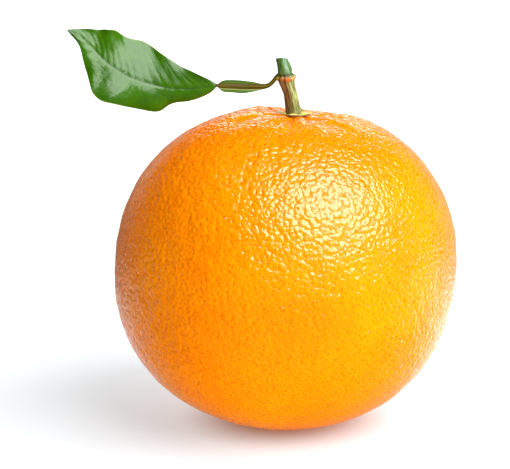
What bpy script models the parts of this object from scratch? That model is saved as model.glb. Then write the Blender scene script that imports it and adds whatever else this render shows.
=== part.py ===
"""A freshly picked orange: the fruit, its calyx, a short cut twig and one leaf on a winged stalk.

Metres, +Z up. The origin is the middle of the small flat spot that the fruit rests on. The leaf
reaches out towards -X, and its glossy upper side faces -Y and up. Every piece is modelled about
the fruit's centre, under one empty that stands the fruit on its rest spot.
"""

import math

import bmesh
import bpy
import numpy as np
from mathutils import Matrix, Vector

MM = 0.001
GAP = 0.3 * MM  # clearance that neighbouring pieces keep
SHARP_EDGE = math.radians(40)  # faces that meet at more than this keep a hard edge

# Fruit: a squarish oblate body, turned about a stem axis that leans towards +X
FRUIT_RADIUS = 41.5 * MM
FRUIT_HALF_HEIGHT = 38.9 * MM  # centre to either pole, before the stem hollow is pressed in
FRUIT_SQUARENESS = 2.18  # superellipse exponent: 2 is an ellipse, more is squarer
FRUIT_TILT = math.radians(2.5)  # of the stem axis, towards +X
FRUIT_LEAN = 0.0188  # sideways shift of the body towards +X per unit of height
FRUIT_SEGMENTS = 56
FRUIT_RINGS = 36
REST_SPOT_DEPTH = 0.5 * MM  # how far the underside is pressed flat

# Stem hollow: a shallow dish with furrows that run out over the shoulder
HOLLOW_DEPTH = 1.3 * MM
HOLLOW_RADIUS = 7.5 * MM
HOLLOW_STEEPNESS = 3.0
DIP_DEPTH = 1.8 * MM  # a second, deeper dish behind the stem
DIP_RADIUS = 6.8 * MM
DIP_PLACE = (3.6 * MM, 10.0 * MM)
FURROWS = 7
FURROW_DEPTH = 1.2 * MM
FURROW_RADIUS = 9.0 * MM  # where the furrows are deepest
FURROW_SPREAD = 6.0 * MM
FURROW_FADE = 0.5  # power of the sine that closes the furrows at the pole

# Calyx: a star of five sepal lobes that follows the hollow
CALYX_LOBES = 5
CALYX_RADIUS = 4.1 * MM  # to the tip of a lobe
CALYX_WAIST = 2.9 * MM  # between two lobes
CALYX_THICKNESS = 0.6 * MM
CALYX_SEGMENTS = 40
CALYX_RINGS = 4

# Stem: centre line (x, y, z) about the fruit's centre, and the radius there
STEM_LINE_MM = (
    ((1.85, 0.0, 39.35), 2.0),
    ((1.4, 0.0, 40.9), 1.8),
    ((0.9, 0.0, 43.0), 1.8),
    ((0.2, 0.0, 45.6), 1.95),
    ((0.0, 0.0, 46.6), 2.2),  # the knuckle
    ((-0.2, 0.0, 47.6), 1.85),
    ((-0.4, 0.0, 48.6), 1.75),
    ((-1.1, 0.0, 51.1), 1.55),  # the cut end
)
STEM_SIDES = 18
STEM_RINGS = 24
BUD_RADIUS = 0.8 * MM
BUD_SEGMENTS = 12
BUD_RINGS = 8
BUD_CENTRES_MM = ((0.1, -1.9, 46.5), (1.9, -0.8, 46.3), (-1.5, -1.2, 46.9))

# Petiole: centre line, half width and half thickness. It is a thin stalk, then two narrow wings
PETIOLE_LINE_MM = (
    ((-2.75, -0.2, 46.2), 0.5, 0.5),
    ((-3.6, -0.5, 45.1), 0.55, 0.5),
    ((-4.8, -0.8, 44.6), 0.6, 0.5),
    ((-6.5, -1.2, 44.5), 1.0, 0.5),
    ((-9.5, -1.8, 44.7), 1.5, 0.5),
    ((-12.5, -2.3, 44.9), 1.55, 0.5),
    ((-15.0, -2.6, 45.1), 1.2, 0.5),
    ((-16.1, -2.8, 45.2), 0.45, 0.4),
)
PETIOLE_ACROSS = Vector((0.0, 0.3, 0.95))  # direction of the wings' width
PETIOLE_SIDES = 14
PETIOLE_RINGS = 26

# Leaf blade: the midrib, the upper margin and the lower margin at stations from joint to tip
LEAF_STATIONS_MM = (
    ((-16.5, -2.8, 45.2), (-16.5, -2.6, 45.7), (-16.5, -3.1, 44.8)),
    ((-19.3, -3.1, 44.7), (-19.8, -2.9, 47.4), (-19.1, -3.2, 42.7)),
    ((-23.6, -3.3, 44.5), (-24.8, -1.8, 49.5), (-23.3, -3.1, 41.0)),
    ((-28.3, -3.6, 44.8), (-29.4, -0.8, 52.1), (-27.5, -3.0, 39.95)),
    ((-32.8, -4.2, 46.0), (-33.4, 0.9, 54.9), (-31.3, -4.2, 38.8)),
    ((-36.8, -4.8, 47.5), (-37.2, 0.0, 55.85), (-37.2, -6.5, 40.5)),
    ((-40.1, -4.9, 49.4), (-40.1, -1.4, 57.9), (-42.0, -9.4, 42.5)),
    ((-43.0, -4.4, 51.5), (-42.4, -2.8, 58.65), (-45.6, -8.6, 44.5)),
    ((-45.6, -3.8, 54.05), (-45.0, -2.2, 58.5), (-47.0, -6.4, 49.4)),
    ((-48.4, -4.0, 56.85), (-48.2, -3.0, 58.8), (-48.8, -5.0, 55.2)),
    ((-51.8, -4.0, 58.7), (-51.6, -3.8, 59.1), (-51.6, -4.2, 58.3)),
)
LEAF_THICKNESS = 0.6 * MM
LEAF_STEPS_ALONG = 26
LEAF_STEPS_ACROSS = 8

# Linear colour and roughness of each finish
PEEL = ((0.93, 0.34, 0.01), 0.35)
SEPAL = ((0.55, 0.50, 0.18), 0.7)
TWIG = ((0.26, 0.20, 0.07), 0.6)
PETIOLE_GREEN = ((0.12, 0.20, 0.03), 0.5)
LEAF_GREEN = ((0.05, 0.17, 0.01), 0.35)


def smooth_curve(stations, count):
    """`count` rows along the Catmull-Rom curve through `stations`, whose rows may hold any numbers."""
    stations = np.array(stations, float)
    padded = np.vstack([2 * stations[0] - stations[1], stations, 2 * stations[-1] - stations[-2]])
    place = np.linspace(0, len(stations) - 1, count)
    span = np.minimum(place.astype(int), len(stations) - 2)
    u = (place - span)[:, None]
    a, b, c, d = (padded[span + step] for step in range(4))
    return 0.5 * (2 * b + (c - a) * u + (2 * a - 5 * b + 4 * c - d) * u**2 + (3 * b - a - 3 * c + d) * u**3)


def make_material(name, finish):
    colour, roughness = finish
    material = bpy.data.materials.new(name)
    material.use_nodes = True
    shader = material.node_tree.nodes["Principled BSDF"]
    shader.inputs["Base Color"].default_value = (*colour, 1.0)
    shader.inputs["Roughness"].default_value = roughness
    shader.inputs["Metallic"].default_value = 0.0
    return material


def add_object(name, bm, material, parent):
    """An object made from the bmesh, with one material, smooth shading and sharp cut edges."""
    bmesh.ops.recalc_face_normals(bm, faces=bm.faces)
    mesh = bpy.data.meshes.new(name)
    bm.to_mesh(mesh)
    bm.free()
    mesh.materials.append(material)
    mesh.shade_smooth()
    mesh.set_sharp_from_angle(angle=SHARP_EDGE)
    obj = bpy.data.objects.new(name, mesh)
    obj.parent = parent
    bpy.context.scene.collection.objects.link(obj)
    return obj


def tube_through(rings):
    """A closed bmesh skinned over rings of points, with a flat cap on each end."""
    bm = bmesh.new()
    loops = [[bm.verts.new(point) for point in ring] for ring in rings]
    for ring, following in zip(loops, loops[1:]):
        for i in range(len(ring)):
            j = (i + 1) % len(ring)
            bm.faces.new((ring[i], ring[j], following[j], following[i]))
    bm.faces.new(loops[0])
    bm.faces.new(loops[-1])
    return bm


def ring_round(centre, along, across, half_width, half_thickness, sides):
    """Points of an ellipse about `centre`, square to `along`, its long axis near `across`."""
    side = across - along * across.dot(along)
    side.normalize()
    normal = along.cross(side)
    angles = [2 * math.pi * i / sides for i in range(sides)]
    return [
        centre + side * half_width * math.cos(a) + normal * half_thickness * math.sin(a) for a in angles
    ]


def directions_of(points):
    """The unit tangent at each of the points along a curve."""
    tangents = np.gradient(points, axis=0)
    return tangents / np.linalg.norm(tangents, axis=1, keepdims=True)


def fruit_point(polar, azimuth):
    """A point of the peel, by its angle from the stem axis and its angle about it.

    The profile is a superellipse. The hollow is a bell-shaped dish at the stem with a deeper one
    behind it, and the furrows are a cosine wave round it that fades on both sides of one radius.
    """
    profile = (
        abs(math.sin(polar) / FRUIT_RADIUS) ** FRUIT_SQUARENESS
        + abs(math.cos(polar) / FRUIT_HALF_HEIGHT) ** FRUIT_SQUARENESS
    )
    radius = profile ** (-1 / FRUIT_SQUARENESS)
    from_axis = radius * math.sin(polar)
    height = radius * math.cos(polar)
    x = from_axis * math.cos(azimuth)
    y = from_axis * math.sin(azimuth)
    if height > 0:
        height -= HOLLOW_DEPTH * math.exp(-((from_axis / HOLLOW_RADIUS) ** HOLLOW_STEEPNESS))
        fade = math.exp(-(((from_axis - FURROW_RADIUS) / FURROW_SPREAD) ** 2))
        height -= FURROW_DEPTH * fade * math.cos(FURROWS * azimuth / 2) ** 2 * math.sin(polar) ** FURROW_FADE
        from_dip = math.hypot(x - DIP_PLACE[0], y - DIP_PLACE[1])
        height -= DIP_DEPTH * math.exp(-((from_dip / DIP_RADIUS) ** 2))
    point = Vector((x, y, height))
    point = Matrix.Rotation(FRUIT_TILT, 3, "Y") @ point
    point.x += FRUIT_LEAN * point.z
    return point


def make_fruit(material, parent):
    """The whole fruit as one solid, and the middle of the flat spot pressed into its underside."""
    bm = bmesh.new()
    bmesh.ops.create_uvsphere(bm, u_segments=FRUIT_SEGMENTS, v_segments=FRUIT_RINGS, radius=1.0)
    for vert in bm.verts:
        polar = math.acos(max(-1.0, min(1.0, vert.co.z)))
        vert.co = fruit_point(polar, math.atan2(vert.co.y, vert.co.x))
    floor = min(vert.co.z for vert in bm.verts) + REST_SPOT_DEPTH
    cut = bmesh.ops.bisect_plane(
        bm,
        geom=bm.verts[:] + bm.edges[:] + bm.faces[:],
        plane_co=(0, 0, floor),
        plane_no=(0, 0, 1),
        clear_inner=True,
    )
    rim = [item for item in cut["geom_cut"] if isinstance(item, bmesh.types.BMEdge)]
    spot = bmesh.ops.contextual_create(bm, geom=rim)["faces"][0]
    rest_spot = spot.calc_center_bounds()
    rest_spot.z = floor
    hub = bmesh.ops.poke(bm, faces=[spot])["verts"][0]
    hub.co = rest_spot
    return add_object("fruit", bm, material, parent), rest_spot


def make_calyx(material, parent):
    """A five-pointed star that lies on the hollow with a small gap under it."""
    bm = bmesh.new()
    axis = Matrix.Rotation(FRUIT_TILT, 3, "Y") @ Vector((0, 0, 1))
    lift = axis * GAP

    def seat(from_axis, azimuth):
        polar = math.asin(from_axis / FRUIT_HALF_HEIGHT)
        return fruit_point(polar, azimuth) + lift

    centre = bm.verts.new(seat(0.0, 0.0))
    loops = []
    for ring in range(1, CALYX_RINGS + 1):
        loop = []
        for i in range(CALYX_SEGMENTS):
            azimuth = 2 * math.pi * i / CALYX_SEGMENTS
            lobe = 0.5 + 0.5 * math.cos(CALYX_LOBES * azimuth)
            outline = CALYX_WAIST + (CALYX_RADIUS - CALYX_WAIST) * lobe
            loop.append(bm.verts.new(seat(outline * ring / CALYX_RINGS, azimuth)))
        loops.append(loop)
    for i in range(CALYX_SEGMENTS):
        j = (i + 1) % CALYX_SEGMENTS
        bm.faces.new((centre, loops[0][i], loops[0][j]))
        for inner, outer in zip(loops, loops[1:]):
            bm.faces.new((inner[i], outer[i], outer[j], inner[j]))
    obj = add_object("calyx", bm, material, parent)
    wall = obj.modifiers.new("thickness", "SOLIDIFY")
    wall.thickness = CALYX_THICKNESS
    wall.offset = 1.0
    return obj


def make_bud(number, centre, parent):
    """A small knob that is joined into the stem's knuckle, and left out as a piece of its own."""
    bm = bmesh.new()
    bmesh.ops.create_uvsphere(bm, u_segments=BUD_SEGMENTS, v_segments=BUD_RINGS, radius=BUD_RADIUS)
    bmesh.ops.translate(bm, verts=bm.verts, vec=centre)
    mesh = bpy.data.meshes.new(f"bud_{number}")
    bm.to_mesh(mesh)
    bm.free()
    bud = bpy.data.objects.new(f"bud_{number}", mesh)
    bud.parent = parent
    bud.hide_render = True
    bud.display_type = "WIRE"
    bpy.context.scene.collection.objects.link(bud)
    return bud


def make_stem(material, parent):
    """The twig from the calyx to its cut end: a tube of varying radius, with buds on its knuckle."""
    rows = [(*(value * MM for value in point), radius * MM) for point, radius in STEM_LINE_MM]
    curve = smooth_curve(rows, STEM_RINGS)
    tangents = directions_of(curve[:, :3])
    rings = [
        ring_round(Vector(row[:3]), Vector(along), Vector((0, 1, 0)), row[3], row[3], STEM_SIDES)
        for row, along in zip(curve, tangents)
    ]
    stem = add_object("stem", tube_through(rings), material, parent)
    for number, centre in enumerate(BUD_CENTRES_MM, 1):
        join = stem.modifiers.new(f"bud {number}", "BOOLEAN")
        join.operation = "UNION"
        join.object = make_bud(number, Vector(centre) * MM, parent)
    return stem


def make_petiole(material, parent):
    """The leaf's stalk: a tube whose section widens from round into two flat wings."""
    rows = [
        (*(value * MM for value in point), width * MM, thickness * MM)
        for point, width, thickness in PETIOLE_LINE_MM
    ]
    curve = smooth_curve(rows, PETIOLE_RINGS)
    tangents = directions_of(curve[:, :3])
    rings = [
        ring_round(Vector(row[:3]), Vector(along), PETIOLE_ACROSS, row[3], row[4], PETIOLE_SIDES)
        for row, along in zip(curve, tangents)
    ]
    return add_object("petiole", tube_through(rings), material, parent)


def make_leaf_blade(material, parent):
    """The blade: across each station a parabola runs through lower margin, midrib and upper margin."""
    rows = [[value * MM for point in station for value in point] for station in LEAF_STATIONS_MM]
    curve = smooth_curve(rows, LEAF_STEPS_ALONG + 1)
    bm = bmesh.new()
    grid = []
    for row in curve:
        midrib, upper, lower = row[0:3], row[3:6], row[6:9]
        slope = (upper - lower) / 2
        cup = (upper + lower) / 2 - midrib
        across = [2 * i / LEAF_STEPS_ACROSS - 1 for i in range(LEAF_STEPS_ACROSS + 1)]
        grid.append([bm.verts.new(midrib + slope * s + cup * s * s) for s in across])
    for line, following in zip(grid, grid[1:]):
        for i in range(LEAF_STEPS_ACROSS):
            bm.faces.new((line[i], following[i], following[i + 1], line[i + 1]))
    obj = add_object("leaf_blade", bm, material, parent)
    wall = obj.modifiers.new("thickness", "SOLIDIFY")
    wall.thickness = LEAF_THICKNESS
    wall.offset = 0.0
    return obj


def main():
    for obj in list(bpy.data.objects):
        bpy.data.objects.remove(obj)
    orange = bpy.data.objects.new("orange", None)
    bpy.context.scene.collection.objects.link(orange)
    _, rest_spot = make_fruit(make_material("peel", PEEL), orange)
    make_calyx(make_material("sepal", SEPAL), orange)
    make_stem(make_material("twig", TWIG), orange)
    make_petiole(make_material("petiole_green", PETIOLE_GREEN), orange)
    make_leaf_blade(make_material("leaf_green", LEAF_GREEN), orange)
    orange.location = -rest_spot


main()
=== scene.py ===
"""The looks of a freshly picked orange, laid out as an add-on and run as a script.

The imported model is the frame. Every piece here is a surface worked out with numpy that takes the place
of one of its nodes: the pitted peel, the calyx, the twig, the winged petiole and the leaf blade.
Lengths are in metres unless a name ends in _MM, and +Z is up.
"""

import math

import bpy
import numpy as np
from bpy.props import FloatProperty, FloatVectorProperty, IntProperty, PointerProperty
from bpy.types import Operator, Panel, PropertyGroup
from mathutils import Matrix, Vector, geometry


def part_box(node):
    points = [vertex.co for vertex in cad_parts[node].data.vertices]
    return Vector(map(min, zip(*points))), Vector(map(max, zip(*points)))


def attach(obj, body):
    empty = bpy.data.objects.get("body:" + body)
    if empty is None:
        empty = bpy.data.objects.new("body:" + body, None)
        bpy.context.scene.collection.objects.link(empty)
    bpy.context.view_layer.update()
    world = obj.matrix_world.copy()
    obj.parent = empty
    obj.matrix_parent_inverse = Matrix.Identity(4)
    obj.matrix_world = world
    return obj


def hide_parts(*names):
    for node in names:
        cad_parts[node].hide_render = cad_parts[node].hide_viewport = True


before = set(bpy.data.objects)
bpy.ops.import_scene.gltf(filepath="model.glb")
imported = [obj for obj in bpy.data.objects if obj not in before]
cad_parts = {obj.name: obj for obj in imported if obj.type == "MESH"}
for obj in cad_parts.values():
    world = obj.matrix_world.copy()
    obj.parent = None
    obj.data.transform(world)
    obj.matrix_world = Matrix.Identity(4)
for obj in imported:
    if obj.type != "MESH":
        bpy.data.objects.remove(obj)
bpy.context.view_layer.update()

bl_info = {
    "name": "Picked Orange",
    "version": (1, 0, 0),
    "blender": (4, 5, 0),
    "location": "View3D > Sidebar > Orange",
    "description": "Builds the pitted peel, calyx, twig, petiole and leaf of a picked orange",
    "category": "Add Mesh",
}

MM = 0.001
BODY = "root"
FRUIT_LOW, FRUIT_HIGH = (np.array(corner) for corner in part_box("fruit"))

# The fruit's form, the same rules as the solid's: a squarish oblate body with a leaning stem axis
FRUIT_RADIUS = (FRUIT_HIGH[1] - FRUIT_LOW[1]) / 2
FRUIT_FLATNESS = 38.9 / 41.5
FRUIT_HALF_HEIGHT = FRUIT_RADIUS * FRUIT_FLATNESS
FRUIT_SQUARENESS = 2.18
FRUIT_TILT = math.radians(2.5)
FRUIT_LEAN = 0.0188
REST_SPOT_DEPTH = 0.5 * MM
HOLLOW_DEPTH = 1.3 * MM
HOLLOW_RADIUS = 7.5 * MM
HOLLOW_STEEPNESS = 3.0
DIP_DEPTH = 1.8 * MM
DIP_RADIUS = 6.8 * MM
DIP_PLACE = (3.6 * MM, 10.0 * MM)
FURROWS = 7
FURROW_DEPTH = 1.2 * MM
FURROW_RADIUS = 9.0 * MM
FURROW_SPREAD = 6.0 * MM

# Centre lines about the fruit's centre, in millimetres: (x, y, z) and the sizes at that point
TWIG_LINE_MM = (
    ((2.0, 0.0, 37.9), 2.2),
    ((1.7, 0.0, 38.9), 1.85),
    ((1.4, 0.0, 40.6), 1.76),
    ((1.1, 0.0, 42.4), 1.7),
    ((0.55, 0.0, 44.4), 1.78),
    ((0.15, 0.0, 45.8), 2.0),
    ((0.0, 0.0, 46.7), 2.1),
    ((-0.12, 0.0, 47.5), 1.8),
    ((-0.35, 0.0, 48.6), 1.76),
    ((-0.75, 0.0, 49.9), 1.62),
    ((-1.1, 0.0, 51.1), 1.5),
)
PETIOLE_LINE_MM = (
    ((-1.6, -0.3, 47.3), 0.6, 0.6),
    ((-2.4, -0.4, 46.6), 0.55, 0.52),
    ((-3.3, -0.6, 45.5), 0.53, 0.48),
    ((-4.3, -0.8, 44.8), 0.56, 0.46),
    ((-5.7, -1.1, 44.55), 0.72, 0.47),
    ((-8.0, -1.6, 44.6), 1.22, 0.48),
    ((-10.3, -2.0, 44.65), 1.52, 0.46),
    ((-12.6, -2.3, 44.85), 1.52, 0.44),
    ((-14.4, -2.6, 44.95), 1.46, 0.42),
    ((-15.5, -2.7, 45.05), 1.1, 0.4),
    ((-16.3, -2.8, 45.15), 0.42, 0.38),
    ((-16.7, -2.8, 45.2), 0.4, 0.36),
)
PETIOLE_ACROSS = np.array((0.0, 0.3, 0.95))
LEAF_STATIONS_MM = (
    ((-16.5, -2.8, 45.2), (-16.5, -2.6, 45.5), (-16.5, -3.0, 44.9)),
    ((-19.3, -3.1, 44.7), (-19.8, -2.9, 47.4), (-19.1, -3.2, 42.7)),
    ((-23.6, -3.3, 44.5), (-24.8, -1.8, 49.5), (-23.3, -3.1, 41.0)),
    ((-28.3, -3.6, 44.8), (-29.4, -0.8, 52.1), (-27.5, -3.0, 39.95)),
    ((-32.8, -4.2, 46.0), (-33.4, 0.9, 54.9), (-31.3, -4.2, 38.8)),
    ((-36.8, -4.8, 47.5), (-37.2, 0.0, 55.85), (-37.2, -6.5, 40.5)),
    ((-40.1, -4.9, 49.4), (-40.1, -1.4, 57.9), (-42.0, -9.4, 42.5)),
    ((-43.0, -4.4, 51.5), (-42.4, -2.8, 58.65), (-45.6, -8.6, 44.5)),
    ((-45.6, -3.8, 54.05), (-45.0, -2.2, 58.5), (-47.0, -6.4, 49.4)),
    ((-48.4, -4.0, 56.85), (-48.2, -3.0, 58.8), (-48.8, -5.0, 55.2)),
    ((-51.8, -4.0, 58.7), (-51.8, -3.95, 58.8), (-51.8, -4.05, 58.6)),
)


# ---------------------------------------------------------------- numpy surfaces


def smooth_curve(stations, places):
    """Rows of the Catmull-Rom curve through `stations` at `places`, counted in stations from the first."""
    stations = np.array(stations, float)
    padded = np.vstack([2 * stations[0] - stations[1], stations, 2 * stations[-1] - stations[-2]])
    span = np.clip(places.astype(int), 0, len(stations) - 2)
    u = (places - span)[:, None]
    a, b, c, d = (padded[span + step] for step in range(4))
    return 0.5 * (2 * b + (c - a) * u + (2 * a - 5 * b + 4 * c - d) * u**2 + (3 * b - a - 3 * c + d) * u**3)


def lattice_noise(points, cell, seed):
    """Smooth noise of about -1 to 1: random slopes on a cubic lattice of that cell, blended by a fade."""
    table = np.random.default_rng(seed).normal(size=(4096, 3))
    table /= np.linalg.norm(table, axis=1, keepdims=True)
    place = points.reshape(-1, 3) / cell
    base = np.floor(place).astype(np.int64)
    inside = place - base
    fade = inside**3 * (inside * (inside * 6 - 15) + 10)
    total = np.zeros(len(place))
    for corner in np.ndindex(2, 2, 2):
        key = (base + corner) @ np.array((73856093, 19349663, 83492791)) & 4095
        weight = np.prod(np.where(corner, fade, 1 - fade), axis=1)
        total += weight * np.einsum("ij,ij->i", table[key], inside - corner)
    return 1.6 * total.reshape(points.shape[:-1])


def bell(distance, width):
    """A bell curve: 1 at no distance, and about a third at `width`."""
    return np.exp(-((distance / width) ** 2))


def unit(vectors):
    return vectors / np.linalg.norm(vectors, axis=-1, keepdims=True)


def normals_of(grid):
    """Unit normals of a grid of points: the cross product of its two gradients."""
    return unit(np.cross(np.gradient(grid, axis=0), np.gradient(grid, axis=1)))


def quads(rows, columns, wrap=False):
    """The quads of a grid, one row after another; with `wrap` the last column joins the first."""
    row, column = np.meshgrid(np.arange(rows - 1), np.arange(columns - (not wrap)), indexing="ij")
    following = (column + 1) % columns
    corners = (
        row * columns + column,
        row * columns + following,
        (row + 1) * columns + following,
        (row + 1) * columns + column,
    )
    return np.stack(corners, -1).reshape(-1, 4)


def tube_faces(rings, columns):
    """Faces of a tube of rings, closed by a fan to a hub at each end; the two hubs follow the rings."""
    loop = np.arange(columns)
    hub = rings * columns
    ends = (fan(loop, hub)[:, ::-1], fan(loop + hub - columns, hub + 1))
    return [quads(rings, columns, wrap=True), *ends]


def fan(loop, hub):
    """Triangles from each edge of a closed loop of vertex numbers to one hub."""
    return np.stack([loop, np.roll(loop, -1), np.full(len(loop), hub)], -1)


def new_mesh(name, points, faces, attributes):
    """A smooth mesh from an array of points, arrays of faces, and named arrays that its material reads."""
    mesh = bpy.data.meshes.new(name)
    points = points.reshape(-1, 3)
    sizes = np.concatenate([np.full(len(part), part.shape[1]) for part in faces])
    corners = np.concatenate([part.ravel() for part in faces])
    mesh.vertices.add(len(points))
    mesh.vertices.foreach_set("co", points.astype(np.float32).ravel())
    mesh.loops.add(len(corners))
    mesh.loops.foreach_set("vertex_index", corners.astype(np.int32))
    mesh.polygons.add(len(sizes))
    mesh.polygons.foreach_set("loop_start", (np.cumsum(sizes) - sizes).astype(np.int32))
    mesh.update(calc_edges=True)
    for title, values in attributes.items():
        flat = values.reshape(len(points), -1).astype(np.float32)
        kind, field = ("FLOAT_VECTOR", "vector") if flat.shape[1] == 3 else ("FLOAT", "value")
        mesh.attributes.new(title, kind, "POINT").data.foreach_set(field, flat.ravel())
    mesh.shade_smooth()
    if mesh.validate():
        raise RuntimeError(f"{name}: the mesh had faults")
    return mesh


def make_piece(name, surface, finish, settings, node):
    """One piece of the visual model, which rides on the body and takes the place of one node.

    `surface` gives its points, faces and attributes and `finish` its material, both from the settings.
    """
    mesh = new_mesh(name, *surface(settings))
    mesh.materials.append(finish(settings))
    piece = bpy.data.objects.new(name, mesh)
    bpy.context.scene.collection.objects.link(piece)
    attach(piece, BODY)
    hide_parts(node)


def distance_along(line):
    """How far along a line of points each of them lies."""
    return np.concatenate([[0], np.cumsum(np.linalg.norm(np.diff(line, axis=0), axis=1))])


def peel_form(polar, azimuth):
    """Points of the smooth fruit about its centre, by the angle from the stem axis and round it.

    The profile is a superellipse. At the stem a bell-shaped dish is pressed in, with a second one
    behind it, and a cosine wave round the axis, which fades on both sides of one radius, makes the
    furrows.
    """
    profile = np.abs(np.sin(polar) / FRUIT_RADIUS) ** FRUIT_SQUARENESS
    profile += np.abs(np.cos(polar) / FRUIT_HALF_HEIGHT) ** FRUIT_SQUARENESS
    radius = profile ** (-1 / FRUIT_SQUARENESS)
    from_axis = radius * np.sin(polar)
    height = radius * np.cos(polar)
    fade = bell(from_axis - FURROW_RADIUS, FURROW_SPREAD) * np.sqrt(np.sin(polar))
    dish = HOLLOW_DEPTH * np.exp(-((np.abs(from_axis) / HOLLOW_RADIUS) ** HOLLOW_STEEPNESS))
    dish = dish + FURROW_DEPTH * fade * np.cos(FURROWS * azimuth / 2) ** 2
    x, y = from_axis * np.cos(azimuth), from_axis * np.sin(azimuth)
    dish = dish + DIP_DEPTH * bell(np.hypot(x - DIP_PLACE[0], y - DIP_PLACE[1]), DIP_RADIUS)
    height = height - np.where(height > 0, dish, 0.0)
    tilted_x = x * math.cos(FRUIT_TILT) + height * math.sin(FRUIT_TILT)
    tilted_z = height * math.cos(FRUIT_TILT) - x * math.sin(FRUIT_TILT)
    return np.stack([tilted_x + FRUIT_LEAN * tilted_z, y, tilted_z], -1)


def find_centre():
    """The fruit's centre: in the middle of its box, as high as its pressed spot asks for."""
    polar, azimuth = np.meshgrid(np.linspace(2.8, math.pi, 200), np.linspace(0, 2 * math.pi, 200))
    lowest = peel_form(polar, azimuth)[..., 2].min()
    middle = (FRUIT_LOW + FRUIT_HIGH) / 2
    return np.array((middle[0], middle[1], -lowest - REST_SPOT_DEPTH))


CENTRE = find_centre()


# ---------------------------------------------------------------- shader graphs


class Graph:
    """Adds nodes to one node tree. An input is a plain value or another node's output socket."""

    def __init__(self, tree):
        self.tree = tree

    def node(self, kind, inputs=None, **settings):
        made = self.tree.nodes.new(kind)
        for name, value in settings.items():
            setattr(made, name, value)
        for name, value in (inputs or {}).items():
            if isinstance(value, bpy.types.NodeSocket):
                self.tree.links.new(value, made.inputs[name])
            else:
                made.inputs[name].default_value = value
        return made

    def math(self, operation, first, second=0.0, third=0.0, clamp=False):
        inputs = {0: first, 1: second, 2: third}
        return self.node("ShaderNodeMath", inputs, operation=operation, use_clamp=clamp).outputs[0]

    def times(self, first, second, clamp=False):
        return self.math("MULTIPLY", first, second, clamp=clamp)

    def weighted(self, *terms):
        """The sum of values times their weights, given as (value, weight)."""
        total = self.times(*terms[0])
        for value, weight in terms[1:]:
            total = self.math("MULTIPLY_ADD", value, weight, total)
        return total

    def between(self, factor, first, second):
        """A plain value between two, by a factor from 0 to 1."""
        return self.node("ShaderNodeMix", {0: factor, 2: first, 3: second}, data_type="FLOAT").outputs[0]

    def mix(self, factor, first, second):
        """A colour between two, by a factor from 0 to 1."""
        made = self.node("ShaderNodeMix", {0: factor, 6: first, 7: second}, data_type="RGBA")
        return made.outputs[2]

    def smooth(self, value, low, high, start=0.0, end=1.0):
        """The value carried smoothly from the range low-high to start-end."""
        inputs = {"Value": value, "From Min": low, "From Max": high, "To Min": start, "To Max": end}
        return self.node("ShaderNodeMapRange", inputs, interpolation_type="SMOOTHSTEP").outputs["Result"]

    def attribute(self, name):
        return self.node("ShaderNodeAttribute", attribute_name=name)

    def parts(self, vector):
        """The X, Y and Z outputs of a vector."""
        return self.node("ShaderNodeSeparateXYZ", {0: vector}).outputs

    def measure(self, operation, vector, other=(0.0, 0.0, 0.0)):
        """A length, a distance or a dot product."""
        return self.node("ShaderNodeVectorMath", {0: vector, 1: other}, operation=operation).outputs["Value"]

    def scaled(self, vector, scale):
        made = self.node("ShaderNodeVectorMath", {0: vector, 1: scale}, operation="MULTIPLY")
        return made.outputs[0]

    def noise(self, vector, scale, detail=2.0, roughness=0.5):
        inputs = {"Vector": vector, "Scale": scale, "Detail": detail, "Roughness": roughness}
        return self.node("ShaderNodeTexNoise", inputs).outputs["Fac"]

    def cells(self, vector, scale):
        """Distance to the nearest of scattered points, in cells: round domes when it is squared."""
        made = self.node("ShaderNodeTexVoronoi", {"Vector": vector, "Scale": scale}, feature="F1")
        return made.outputs["Distance"]

    def position(self):
        """The place on the piece, in metres of the piece's own axes."""
        return self.node("ShaderNodeTexCoord").outputs["Object"]


SOCKET_KINDS = {1: "NodeSocketFloat", 3: "NodeSocketVector", 4: "NodeSocketColor"}


def new_group(name, inputs, outputs):
    """An empty shader group, its graph, and its named inputs and outputs.

    `inputs` gives each input's default, whose count of numbers says whether it is a value, a vector
    or a colour. `outputs` gives that count for each output.
    """
    tree = bpy.data.node_groups.new(name, "ShaderNodeTree")
    for title, default in inputs.items():
        kind = SOCKET_KINDS[np.size(default)]
        tree.interface.new_socket(title, in_out="INPUT", socket_type=kind).default_value = default
    for title, count in outputs.items():
        tree.interface.new_socket(title, in_out="OUTPUT", socket_type=SOCKET_KINDS[count])
    graph = Graph(tree)
    return graph, graph.node("NodeGroupInput").outputs, graph.node("NodeGroupOutput")


def finish_group(graph, exit_node, values):
    for title, socket in values.items():
        graph.tree.links.new(socket, exit_node.inputs[title])
    return graph.tree


def mottle_group():
    """Two colours in soft patches: noise of one scale picks between them, and finer noise breaks it up."""
    white = (1.0, 1.0, 1.0, 1.0)
    inputs = {"Vector": (0.0, 0.0, 0.0), "Ground": white, "Patch": white, "Scale": 60.0, "Amount": 1.0}
    graph, given, out = new_group("mottle", inputs, {"Color": 4, "Mask": 1})
    coarse = graph.noise(given["Vector"], given["Scale"], 4.0, 0.6)
    mask = graph.times(graph.smooth(coarse, 0.35, 0.68), given["Amount"], clamp=True)
    colour = graph.mix(mask, given["Ground"], given["Patch"])
    return finish_group(graph, out, {"Color": colour, "Mask": mask})


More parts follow.
